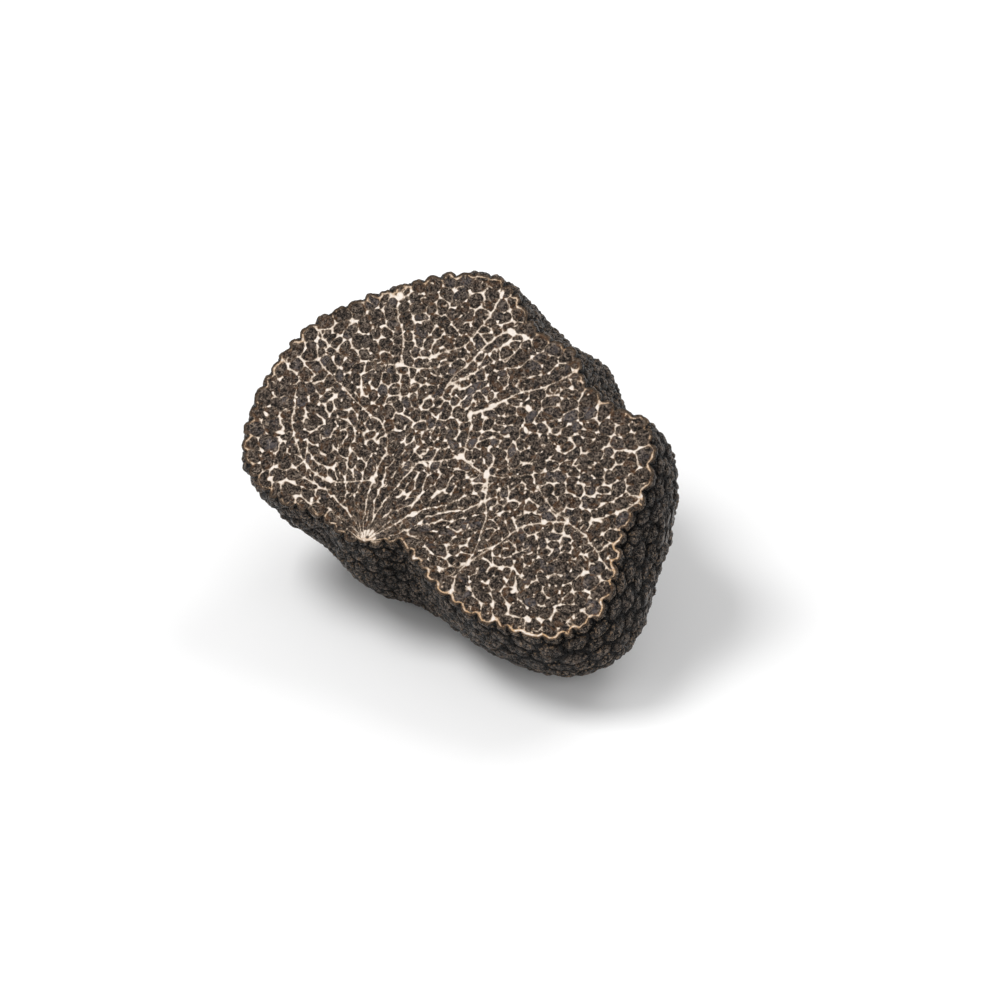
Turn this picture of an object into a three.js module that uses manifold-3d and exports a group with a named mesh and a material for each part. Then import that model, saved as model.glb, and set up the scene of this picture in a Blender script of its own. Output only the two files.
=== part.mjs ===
// Half of a black truffle. It lies on its round, warty side, with the cut face up and tipped to the
// front. Millimetres, +Z up, with the origin at the bottom centre of its bounding box.
//
// The cut face gives the directions that shape the body: "across" runs along +X, "upslope" climbs the
// face towards the back, and "depth" goes straight into the flesh. A place on the body is named by its
// bearing, in degrees from across towards upslope, and by its level, which is 90 at the crown that was
// cut away, 0 at the widest section and -90 at the bottom of the belly.

import * as THREE from 'three';
import { ConvexHull } from 'three/addons/math/ConvexHull.js';
import { mergeVertices } from 'three/addons/utils/BufferGeometryUtils.js';
import Module from 'manifold-3d';

// Driving dimensions.
const faceTilt = 35; // degrees between the cut face and the ground
const faceHeight = 28.3; // middle of the cut face above the ground
const widestDepth = 8; // the widest section lies this far below the cut
const crownHeight = 26; // from the widest section up to the crown
const bellyDepth = 22.5; // from the widest section down to the bottom of the belly
const bellyReach = 28; // reach towards which every bearing rounds out with depth
const leanAcross = 0.03; // drift of the sections for each millimetre of depth
const leanUpslope = -0.02;

// Rim of the cut face: [bearing, reach from the middle]. The short reaches are the stalk scar's notch,
// at 254 degrees, and the cleft between two lobes, at 43 to 70 degrees.
const rimOutline = [
  [0, 29], [14, 29.5], [23, 28.5], [31, 24.5], [43, 22], [56, 23.5], [70, 22.5], [79, 24],
  [86, 26.5], [95, 28.8], [112, 29], [130, 29.5], [147, 31.5], [163, 32.5], [180, 33], [194, 32.5],
  [206, 28.5], [218, 22.5], [232, 20.5], [243, 18.5], [254, 16], [268, 18], [286, 23], [300, 27.5],
  [313, 32], [325, 32.5], [335, 30.5], [346, 28],
];

// Broad swells, and hollows where the rise is negative: rise is a share of the reach there, and the
// width is in degrees.
const swells = [
  { bearing: -24, level: -16, rise: 0.12, width: 27 },
  { bearing: -58, level: -10, rise: 0.05, width: 24 },
  { bearing: -95, level: -22, rise: -0.1, width: 34 },
  { bearing: -90, level: -55, rise: -0.09, width: 27 },
  { bearing: -45, level: -58, rise: -0.03, width: 26 },
  { bearing: 85, level: -68, rise: 0.17, width: 40 },
  { bearing: 10, level: -50, rise: 0.05, width: 22 },
  { bearing: 160, level: -40, rise: -0.05, width: 28 },
  { bearing: 75, level: -25, rise: 0.05, width: 22 },
  { bearing: 118, level: -12, rise: 0.04, width: 20 },
  { bearing: 105, level: -40, rise: -0.06, width: 20 },
  { bearing: 205, level: -8, rise: -0.04, width: 22 },
];

// Warts: many-sided pyramids that cover the whole skin.
const wartCount = 1440; // on the whole truffle, before it was cut
const wartScatter = 0.6; // random shift, as a share of the mean spacing
const wartHeight = 1; // mean height of a tip above the valleys around it
const wartHeightSpread = 0.2; // share by which warts differ in height
const valleyDrop = 0.7; // depth of the valleys below the smooth skin
const evenings = 4; // passes that even out the spacing
const cutClearance = 0.08; // no corner lies nearer than this to a cutting plane
const scatterSeed = 20231;

const skinColour = 0x1d1a18;
const skinRoughness = 0.85;

const radians = THREE.MathUtils.degToRad;
const across = new THREE.Vector3(1, 0, 0);
const faceNormal = new THREE.Vector3(0, -Math.sin(radians(faceTilt)), Math.cos(radians(faceTilt)));
const upslope = new THREE.Vector3().crossVectors(faceNormal, across);
const faceCentre = new THREE.Vector3(0, 0, faceHeight);

const wasm = await Module();
wasm.setup();

// A repeatable stream of random numbers between 0 and 1.
function randomStream(seed) {
  let state = seed;
  return () => {
    state = (state * 16807) % 2147483647;
    return state / 2147483647;
  };
}

// Reach of the rim at a bearing: a smooth closed curve through the outline's points.
function rimReach(bearing) {
  const count = rimOutline.length;
  const turned = THREE.MathUtils.euclideanModulo(bearing, 360);
  const next = rimOutline.findIndex(([angle]) => angle > turned);
  const start = next < 0 ? count - 1 : next - 1;
  const [before, from, to, after] = [-1, 0, 1, 2].map((step) => {
    const index = start + step;
    const [angle, reach] = rimOutline[THREE.MathUtils.euclideanModulo(index, count)];
    return { angle: angle + 360 * Math.floor(index / count), reach };
  });
  const span = to.angle - from.angle;
  const t = (turned - from.angle) / span;
  const slopeFrom = ((to.reach - before.reach) / (to.angle - before.angle)) * span;
  const slopeTo = ((after.reach - from.reach) / (after.angle - from.angle)) * span;
  const ease = t * t * (3 - 2 * t);
  const lift = t * (1 - t) * ((1 - t) * slopeFrom - t * slopeTo);
  return from.reach + ease * (to.reach - from.reach) + lift;
}

function directionAt(bearing, level) {
  const flat = Math.cos(radians(level));
  return new THREE.Vector3(
    flat * Math.cos(radians(bearing)), flat * Math.sin(radians(bearing)), Math.sin(radians(level)),
  );
}

// How far a direction is swollen or hollowed, as a factor on its reach.
function swellAt(direction) {
  return swells.reduce((factor, swell) => {
    const away = direction.angleTo(directionAt(swell.bearing, swell.level));
    return factor + swell.rise * Math.exp(-((away / radians(swell.width)) ** 2));
  }, 1);
}

// The point of the smooth skin in a direction from the middle of the widest section.
function skinPoint(direction) {
  const faceLevel = widestDepth / crownHeight;
  const faceShare = Math.sqrt(1 - faceLevel ** 2);
  const bearing = THREE.MathUtils.radToDeg(Math.atan2(direction.y, direction.x));
  const flat = Math.hypot(direction.x, direction.y);
  const height = direction.z > 0 ? crownHeight : bellyDepth;
  const depth = widestDepth - height * direction.z;
  const rounding = THREE.MathUtils.smoothstep(faceLevel - direction.z, 0, faceLevel + 1);
  const reach = THREE.MathUtils.lerp(rimReach(bearing), bellyReach, rounding) / faceShare;
  const swell = swellAt(direction);
  return faceCentre.clone()
    .addScaledVector(across, reach * direction.x * swell + leanAcross * depth)
    .addScaledVector(upslope, reach * direction.y * swell + leanUpslope * depth)
    .addScaledVector(faceNormal, -widestDepth + (widestDepth - depth) * swell);
}

// Directions spread evenly over a sphere along a spiral, each shifted a little at random.
function scatteredDirections() {
  const random = randomStream(scatterSeed);
  const goldenAngle = Math.PI * (3 - Math.sqrt(5));
  const spacing = Math.sqrt((4 * Math.PI) / wartCount);
  return Array.from({ length: wartCount }, (_, index) => {
    const z = 1 - (2 * index + 1) / wartCount;
    const turn = index * goldenAngle;
    const flat = Math.sqrt(1 - z * z);
    const shift = new THREE.Vector3(random() - 0.5, random() - 0.5, random() - 0.5);
    return new THREE.Vector3(flat * Math.cos(turn), flat * Math.sin(turn), z)
      .addScaledVector(shift, wartScatter * spacing)
      .normalize();
  });
}

// Triangles between neighbouring directions, as index triples in counterclockwise order from outside.
function neighbourTriangles(directions) {
  const indexOf = new Map(directions.map((direction, index) => [direction, index]));
  const hull = new ConvexHull().setFromPoints(directions);
  return hull.faces.map((face) => [0, 1, 2].map((side) => indexOf.get(face.getEdge(side).head().point)));
}

function trianglePlace(triangle, directions) {
  return triangle.reduce((sum, index) => sum.add(directions[index]), new THREE.Vector3()).normalize();
}

// Moves every direction to the middle of its neighbouring triangles, weighed by their area on the skin,
// so that the warts come out much alike in size.
function evenOut(directions) {
  const sums = directions.map(() => new THREE.Vector3());
  const points = directions.map(skinPoint);
  for (const triangle of neighbourTriangles(directions)) {
    const area = new THREE.Triangle(...triangle.map((index) => points[index])).getArea();
    const place = trianglePlace(triangle, directions);
    for (const index of triangle) {
      sums[index].addScaledVector(place, area);
    }
  }
  return sums.map((sum) => sum.normalize());
}

// Keeps a corner clear of the cutting plane, so that the cut leaves no slivers.
function clearOf(plane, point) {
  const distance = plane.distanceToPoint(point);
  if (Math.abs(distance) < cutClearance) {
    point.addScaledVector(plane.normal, (distance < 0 ? -cutClearance : cutClearance) - distance);
  }
}

// The whole truffle before the cut: each wart is a fan of triangles from its tip to the valley corners
// around it, and each valley corner lies between three warts.
function wartyBody(planes) {
  let directions = scatteredDirections();
  for (let pass = 0; pass < evenings; pass += 1) {
    directions = evenOut(directions);
  }
  const random = randomStream(scatterSeed);
  const tips = directions.map(skinPoint);
  const triangles = neighbourTriangles(directions);
  const outward = tips.map(() => new THREE.Vector3());
  const corners = triangles.map((triangle) => {
    const normal = new THREE.Triangle(...triangle.map((index) => tips[index])).getNormal(new THREE.Vector3());
    for (const index of triangle) {
      outward[index].add(normal);
    }
    return skinPoint(trianglePlace(triangle, directions)).addScaledVector(normal, -valleyDrop);
  });
  tips.forEach((tip, index) => {
    const height = wartHeight * (1 + wartHeightSpread * (2 * random() - 1));
    tip.addScaledVector(outward[index].normalize(), height - valleyDrop);
  });
  const vertices = [...tips, ...corners];
  for (const plane of planes) {
    vertices.forEach((vertex) => clearOf(plane, vertex));
  }
  const cornerAcross = new Map();
  triangles.forEach(([a, b, c], corner) => {
    for (const [from, to] of [[a, b], [b, c], [c, a]]) {
      cornerAcross.set(`${from} ${to}`, corner);
    }
  });
  const faces = [];
  triangles.forEach(([a, b, c], corner) => {
    for (const [from, to] of [[a, b], [b, c], [c, a]]) {
      const beyond = cornerAcross.get(`${to} ${from}`);
      faces.push([from, tips.length + beyond, tips.length + corner]);
    }
  });
  return new THREE.BufferGeometry().setFromPoints(vertices).setIndex(faces.flat());
}

function solidFrom(geometry) {
  geometry.deleteAttribute('normal');
  geometry.deleteAttribute('uv');
  const merged = mergeVertices(geometry);
  const vertProperties = merged.getAttribute('position').array;
  const triVerts = new Uint32Array(merged.getIndex().array);
  return new wasm.Manifold(new wasm.Mesh({ numProp: 3, vertProperties, triVerts }));
}

// A large block whose one face lies on the plane, on the side that the plane's normal points to.
function blockBeyond(plane) {
  const size = 4 * Math.max(...rimOutline.map(([, reach]) => reach));
  const turn = new THREE.Quaternion().setFromUnitVectors(new THREE.Vector3(0, 0, 1), plane.normal);
  const centre = plane.coplanarPoint(new THREE.Vector3()).addScaledVector(plane.normal, size / 2);
  const block = new THREE.BoxGeometry(size, size, size).applyQuaternion(turn);
  return solidFrom(block.translate(...centre));
}

function geometryFrom(solid) {
  const mesh = solid.getMesh();
  const geometry = new THREE.BufferGeometry();
  geometry.setAttribute('position', new THREE.BufferAttribute(new Float32Array(mesh.vertProperties), 3));
  geometry.setIndex(new THREE.BufferAttribute(new Uint32Array(mesh.triVerts), 1));
  geometry.computeVertexNormals();
  return geometry;
}

// The half that is left: the knife takes the crown off at the cut face, and the ground flattens the
// lowest warts into the small spot that the truffle rests on.
function halfTruffle() {
  const knife = new THREE.Plane().setFromNormalAndCoplanarPoint(faceNormal, faceCentre);
  const ground = new THREE.Plane(new THREE.Vector3(0, 0, -1), 0);
  const whole = solidFrom(wartyBody([knife, ground]));
  const geometry = geometryFrom(whole.subtract(blockBeyond(knife)).subtract(blockBeyond(ground)));
  geometry.computeBoundingBox();
  const centre = geometry.boundingBox.getCenter(new THREE.Vector3());
  geometry.translate(-centre.x, -centre.y, -geometry.boundingBox.min.z);
  const material = new THREE.MeshStandardMaterial({
    color: skinColour, roughness: skinRoughness, metalness: 0,
  });
  const mesh = new THREE.Mesh(geometry, material);
  mesh.name = 'truffle_half';
  return mesh;
}

const truffle = new THREE.Group();
truffle.add(halfTruffle());

export default truffle;
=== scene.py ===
import math

import bmesh
import bpy
import numpy as np
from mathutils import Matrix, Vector, geometry, kdtree, noise


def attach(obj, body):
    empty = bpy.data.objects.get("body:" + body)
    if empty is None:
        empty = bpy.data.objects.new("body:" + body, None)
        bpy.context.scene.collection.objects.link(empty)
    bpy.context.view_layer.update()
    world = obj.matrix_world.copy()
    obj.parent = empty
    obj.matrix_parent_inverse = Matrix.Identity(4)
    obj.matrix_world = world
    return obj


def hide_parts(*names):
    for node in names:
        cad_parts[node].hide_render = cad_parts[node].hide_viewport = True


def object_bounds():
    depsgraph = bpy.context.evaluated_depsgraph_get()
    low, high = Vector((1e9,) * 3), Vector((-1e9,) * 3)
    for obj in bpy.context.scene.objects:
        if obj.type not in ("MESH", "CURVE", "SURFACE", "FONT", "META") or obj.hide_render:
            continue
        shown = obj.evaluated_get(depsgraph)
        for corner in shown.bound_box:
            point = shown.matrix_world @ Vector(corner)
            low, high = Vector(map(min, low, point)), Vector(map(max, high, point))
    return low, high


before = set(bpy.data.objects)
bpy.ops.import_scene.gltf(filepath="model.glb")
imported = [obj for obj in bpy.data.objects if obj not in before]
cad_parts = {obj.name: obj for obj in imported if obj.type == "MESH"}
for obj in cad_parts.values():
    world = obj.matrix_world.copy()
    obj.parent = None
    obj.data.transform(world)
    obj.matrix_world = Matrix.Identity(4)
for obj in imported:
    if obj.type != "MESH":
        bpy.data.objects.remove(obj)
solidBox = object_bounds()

# Half of a black truffle: a warty skin all round, and the cut face with its veins let into it.
# Shapes are worked out in millimetres and brought to metres at the end of each piece.
# On the cut face, places are (across, upslope) from its middle; across is +X, upslope climbs to the back.

halfForm = {
    "faceTilt": 35,  # degrees between the cut face and the ground
    "faceMiddle": (1.35, -7.01, 28.3),
    "widestDepth": 8,  # the widest section lies this far under the cut
    "crownHeight": 26,  # from there up to the crown that was cut away
    "bellyDepth": 22.5,  # and down to the bottom of the belly
    "bellyReach": 28,  # reach towards which every bearing rounds out
    "leanAcross": 0.03,
    "leanUpslope": -0.02,
    # rim of the cut face: (bearing in degrees, reach)
    "rim": [
        (0, 29), (14, 29.5), (23, 28.5), (31, 24.5), (43, 22), (56, 23.5), (70, 22.5), (79, 24),
        (86, 26.5), (95, 28.8), (112, 29), (130, 29.5), (147, 31.5), (163, 32.5), (180, 33),
        (194, 32.5), (206, 28.5), (218, 22.5), (232, 20.5), (243, 18.5), (254, 16), (268, 18),
        (286, 23), (300, 27.5), (313, 32), (325, 32.5), (335, 30.5), (346, 28),
    ],
    # swells and hollows: (bearing, level, rise as a share of the reach, width in degrees)
    "swells": [
        (-24, -16, 0.12, 27), (-58, -10, 0.05, 24), (-95, -22, -0.1, 34), (-90, -55, -0.09, 27),
        (-45, -58, -0.03, 26), (85, -68, 0.17, 40), (10, -50, 0.05, 22), (160, -40, -0.05, 28),
        (75, -25, 0.05, 22), (118, -12, 0.04, 20), (105, -40, -0.06, 20), (205, -8, -0.04, 22),
    ],
}

tilt = math.radians(halfForm["faceTilt"])
across = np.array((1.0, 0.0, 0.0))
faceNormal = np.array((0.0, -math.sin(tilt), math.cos(tilt)))
upslope = np.cross(faceNormal, across)
faceMiddle = np.array(halfForm["faceMiddle"])


def unit(rows):
    return rows / np.linalg.norm(rows, axis=-1, keepdims=True)


def smoothStep(values, low, high):
    t = np.clip((values - low) / (high - low), 0, 1)
    return t * t * (3 - 2 * t)


# 1 at 0, and less on both sides of it, over a width.
def bell(values, width):
    return np.exp(-((values / width) ** 2))


# Distance of each place on the cut face from one target, or from a target of its own.
def farFrom(places, target):
    return np.hypot(*(places - target).T)


# The targets nearest each point, as numbers; a place on the cut face has two coordinates, others three.
def nearestOf(points, targets, count=1):
    if targets.shape[1] == 2:
        points, targets = (np.column_stack((rows, np.zeros(len(rows)))) for rows in (points, targets))
    tree = kdtree.KDTree(len(targets))
    for i, target in enumerate(targets):
        tree.insert(target, i)
    tree.balance()
    return np.array([[hit[1] for hit in tree.find_n(point, count)] for point in points])


# Distance of each place from the nearest point of an outline.
def nearestGap(places, outline):
    return farFrom(places, outline[nearestOf(places, outline)[:, 0]])


# Soft random waves between -1 and 1, the same at every run.
def waves(points, size, seed):
    box = np.random.default_rng(seed).uniform(-1, 1, (32, 32, 32))
    spots = points / size
    if spots.shape[1] == 2:
        spots = np.column_stack((spots, np.full(len(spots), 0.37)))
    base = np.floor(spots).astype(int)
    part = smoothStep(spots - base, 0, 1)
    total = np.zeros(len(spots))
    for corner in range(8):
        step = np.array((corner & 1, corner >> 1 & 1, corner >> 2 & 1))
        share = np.prod(np.where(step, part, 1 - part), axis=1)
        x, y, z = ((base + step) % 32).T
        total += share * box[x, y, z]
    return total


# Reach of the rim at each bearing: a smooth closed curve through the rim's points.
def rimReach(bearings):
    rim = np.array(halfForm["rim"], float)
    angles, reaches = np.concatenate((rim[-2:] - (360, 0), rim, rim[:3] + (360, 0))).T
    i = np.searchsorted(angles, bearings % 360, side="right") - 1
    span = angles[i + 1] - angles[i]
    t = (bearings % 360 - angles[i]) / span
    slopeFrom = (reaches[i + 1] - reaches[i - 1]) / (angles[i + 1] - angles[i - 1]) * span
    slopeTo = (reaches[i + 2] - reaches[i]) / (angles[i + 2] - angles[i]) * span
    bend = t * (1 - t) * ((1 - t) * slopeFrom - t * slopeTo)
    return reaches[i] + smoothStep(t, 0, 1) * (reaches[i + 1] - reaches[i]) + bend


# Points of the smooth skin in directions from the middle of the widest section.
def skinPoints(directions):
    x, y, z = directions.T
    widest, crown = halfForm["widestDepth"], halfForm["crownHeight"]
    faceLevel = widest / crown
    depth = widest - np.where(z > 0, crown, halfForm["bellyDepth"]) * z
    rounding = smoothStep(faceLevel - z, 0, faceLevel + 1)
    edge = rimReach(np.degrees(np.arctan2(y, x)))
    reach = (edge + (halfForm["bellyReach"] - edge) * rounding) / math.sqrt(1 - faceLevel ** 2)
    swell = np.ones(len(x))
    for turn, level, rise, width in halfForm["swells"]:
        a, e = math.radians(turn), math.radians(level)
        middle = np.array((math.cos(e) * math.cos(a), math.cos(e) * math.sin(a), math.sin(e)))
        away = np.degrees(np.arccos(np.clip(directions @ middle, -1, 1)))
        swell += rise * bell(away, width)
    offAcross = reach * x * swell + halfForm["leanAcross"] * depth
    offUpslope = reach * y * swell + halfForm["leanUpslope"] * depth
    offDepth = widest + (depth - widest) * swell
    return (faceMiddle + offAcross[:, None] * across + offUpslope[:, None] * upslope
            - offDepth[:, None] * faceNormal)


# Height over the plane of the cut.
def aboveCut(points):
    return (points - faceMiddle) @ faceNormal


# From points in the room to places on the cut face, and back.
def facePlace(points):
    away = points - faceMiddle
    return np.column_stack((away @ across, away @ upslope))


def onFace(places, depth=0.0):
    flat = faceMiddle + places[:, :1] * across + places[:, 1:2] * upslope
    return flat - np.reshape(depth, (-1, 1)) * faceNormal


def workOn(piece):
    bpy.ops.object.select_all(action="DESELECT")
    piece.select_set(True)
    bpy.context.view_layer.objects.active = piece


def editMode(kind, selection=None):
    bpy.ops.object.mode_set(mode="EDIT")
    bpy.ops.mesh.select_mode(type=kind)
    if selection:
        bpy.ops.mesh.select_all(action=selection)


def objectMode():
    bpy.ops.object.mode_set(mode="OBJECT")


def extrude(step):
    bpy.ops.mesh.extrude_region_move(TRANSFORM_OT_translate={"value": Vector(step)})


# One value, or a row of them, from each point, edge, face or other item.
def read(items, name, width=1, kind=np.float32):
    values = np.zeros(len(items) * width, kind)
    items.foreach_get(name, values)
    return values.reshape(-1, width) if width > 1 else values


def readPlaces(mesh):
    return read(mesh.vertices, "co", 3).astype(float)


def writePlaces(mesh, places):
    mesh.vertices.foreach_set("co", np.asarray(places, np.float32).ravel())
    mesh.update()


def readValues(mesh, name, kind=np.float32):
    return read(mesh.attributes[name].data, "value", kind=kind)


def writeValues(mesh, name, values, kind="FLOAT", domain="POINT"):
    layer = mesh.attributes.get(name) or mesh.attributes.new(name, kind, domain)
    layer.data.foreach_set("value", np.asarray(values, np.int32 if kind == "INT" else np.float32))


def pickPoints(mesh, chosen):
    for items, picked in ((mesh.polygons, False), (mesh.edges, False), (mesh.vertices, chosen)):
        items.foreach_set("select", np.full(len(items), picked))


def toMetres(piece):
    workOn(piece)
    bpy.ops.transform.resize(value=(0.001, 0.001, 0.001), center_override=(0, 0, 0))
    bpy.ops.object.transform_apply(location=True, rotation=True, scale=True)


# The skin

skinWarts = {
    "count": 1440,  # on the whole truffle, before it was cut
    "scatter": 0.6,  # random shift, as a share of the mean spacing
    "evenings": 4,  # passes that even out the spacing
    "rowReach": 1.22,  # warts this near the cut move into one row along it
    "rowScatter": 0.45,  # share of their uneven spacing that they keep
    "rowEvenings": 4,
    "seed": 20231,
    "height": 1.0,  # mean height of a tip above the valleys around it
    "spread": 0.2,  # share by which warts differ in height
    "valleyDrop": 0.7,  # depth of the solid's valleys, from which the tips are measured
    "valleyDepth": 0.56,  # depth of the dressed valleys under the smooth skin
    "valleyUneven": 0.45,  # share by which the valleys differ in depth
    "roundness": 3.4,  # higher is a flatter top with steeper sides
    "grown": 0.16,  # how far some neighbours grow together
    "ragged": 0.07,  # how far the outlines of the warts wander
    "knobs": 1.65,  # size of the knobs that crumple a wart
    "knobHeight": 0.5,
    "creases": 0.26,  # depth of the lines between the knobs
    "folds": 0.2,  # depth of the folds that run out from a tip
    "lean": 0.1,  # how far a top leans to one side
    "pitShare": 0.45,  # share of the warts with a pit at the tip
    "pitDepth": 0.16,
    "lumps": ((0.8, 0.14, 21), (0.4, 0.05, 22)),  # two layers of lumps: (size, height, seed)
    "rimCalm": 1.9,  # how far from the cut the warts are calmer
    "calm": 0.7,  # share of the fine relief that they lose there
    "rimRoundness": 2.8,
    "calmBelow": (3, 17),  # heights between which the relief grows to its full depth
    "ridgeScale": 0.09,  # how far a place stands out from its neighbours on a full ridge
    "cutPast": 0.04,  # points closer to a cut than this are moved past it
    "cuts": 4,  # finer steps along each side of a wart's fans
    "crownKept": 2.0,  # skin kept above the cut until it is sliced
    "rimWidth": 0.28,  # width of the dark skin line round the cut face
    "recess": 0.4,  # depth of the seat that the flesh fills
}


def hullTriangles(directions):
    build = bmesh.new()
    for direction in directions:
        build.verts.new(direction)
    build.verts.index_update()
    made = bmesh.ops.convex_hull(build, input=build.verts)
    triangles = [[v.index for v in f.verts] for f in made["geom"] if isinstance(f, bmesh.types.BMFace)]
    build.free()
    return np.array(triangles)


def randomStream(seed, count):
    values = np.zeros(count)
    state = seed
    for i in range(count):
        state = state * 16807 % 2147483647
        values[i] = state / 2147483647
    return values


# Directions turned up or down until they meet the skin at the height of the cut.
def meetCut(directions):
    flat = unit(directions[:, :2])
    level = directions[:, 2]
    for _ in range(12):
        met = np.column_stack((flat * np.sqrt(1 - level ** 2)[:, None], level))
        level = level - aboveCut(skinPoints(met)) / halfForm["crownHeight"]
    return met


def towardsCut(bearings):
    return meetCut(np.column_stack((np.cos(bearings), np.sin(bearings), np.full(len(bearings), 0.3))))


# The warts nearest the cut stand in one row along it, almost evenly spaced, which scallops the rim.
def rowOnCut(spots):
    v = skinWarts
    onRow = np.abs(aboveCut(skinPoints(spots))) < v["rowReach"]
    turns = np.radians(np.arange(-180, 180.5, 0.5))
    line = skinPoints(towardsCut(turns))
    along = np.append(0, np.cumsum(np.linalg.norm(np.diff(line, axis=0), axis=1)))
    row = np.flatnonzero(onRow)
    bearing = np.arctan2(spots[row, 1], spots[row, 0])
    row, bearing = row[np.argsort(bearing)], np.sort(bearing)
    place = np.interp(bearing, turns, along)
    even = np.arange(len(row)) * along[-1] / len(row)
    even += (place - even).mean()
    place = even + (place - even) * v["rowScatter"]
    spots = spots.copy()
    spots[row] = towardsCut(np.interp(place % along[-1], along, turns))
    return spots, onRow


# Directions spread evenly on a spiral, shifted a little, then evened out by their area on the skin.
def wartDirections():
    v = skinWarts
    count = v["count"]
    golden = math.pi * (3 - math.sqrt(5))
    spacing = math.sqrt(4 * math.pi / count)
    index = np.arange(count)
    z = 1 - (2 * index + 1) / count
    flat = np.sqrt(1 - z * z)
    shift = randomStream(v["seed"], count * 3).reshape(-1, 3) - 0.5
    spots = np.column_stack((flat * np.cos(index * golden), flat * np.sin(index * golden), z))
    spots = unit(spots + shift * v["scatter"] * spacing)
    onRow = np.zeros(count, bool)
    for evening in range(v["evenings"] + v["rowEvenings"]):
        triangles = hullTriangles(spots)
        a, b, c = (skinPoints(spots)[triangles[:, k]] for k in range(3))
        area = np.linalg.norm(np.cross(b - a, c - a), axis=1)
        places = unit(spots[triangles].sum(1))
        sums = np.zeros_like(spots)
        for k in range(3):
            np.add.at(sums, triangles[:, k], places * area[:, None])
        spots = np.where(onRow[:, None], spots, unit(sums))
        if evening == v["evenings"] - 1:
            spots, onRow = rowOnCut(spots)
    return spots


def dualNodes():
    tree = bpy.data.node_groups.new("wartOutlines", "GeometryNodeTree")
    for way in ("INPUT", "OUTPUT"):
        tree.interface.new_socket("Geometry", in_out=way, socket_type="NodeSocketGeometry")
    kinds = ("NodeGroupInput", "GeometryNodeDualMesh", "NodeGroupOutput")
    start, dual, end = (tree.nodes.new(kind) for kind in kinds)
    tree.links.new(start.outputs[0], dual.inputs[0])
    tree.links.new(dual.outputs[0], end.inputs[0])
    return tree


# A ball of points, hulled, turned to its dual so that each face is one wart, and poked for the tips.
def wartFans():
    spots = wartDirections()
    bpy.ops.object.select_all(action="DESELECT")
    bpy.ops.mesh.primitive_circle_add(vertices=len(spots), radius=1, location=(0, 0, 0))
    skin = bpy.context.object
    skin.name = skin.data.name = "truffle_skin"
    editMode("VERT", "SELECT")
    bpy.ops.mesh.delete(type="EDGE_FACE")
    objectMode()
    writePlaces(skin.data, spots)
    editMode("VERT", "SELECT")
    bpy.ops.mesh.convex_hull(use_existing_faces=False, join_triangles=False)
    bpy.ops.mesh.normals_make_consistent(inside=False)
    objectMode()
    outlines = skin.modifiers.new("wartOutlines", "NODES")
    outlines.node_group = dualNodes()
    bpy.ops.object.modifier_apply(modifier="wartOutlines")
    corners = len(skin.data.vertices)
    editMode("FACE", "SELECT")
    bpy.ops.mesh.poke(offset=0)
    objectMode()
    places = unit(readPlaces(skin.data))
    number = np.full(len(places), -1)
    number[corners:] = nearestOf(places[corners:], spots)[:, 0]
    places[corners:] = spots[number[corners:]]
    writePlaces(skin.data, places)
    writeValues(skin.data, "wart", (number >= 0).astype(float))
    faces = read(skin.data.polygons, "vertices", 3, np.int32)
    writeValues(skin.data, "wartNumber", number[faces].max(1), "INT", "FACE")
    return skin, spots


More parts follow.
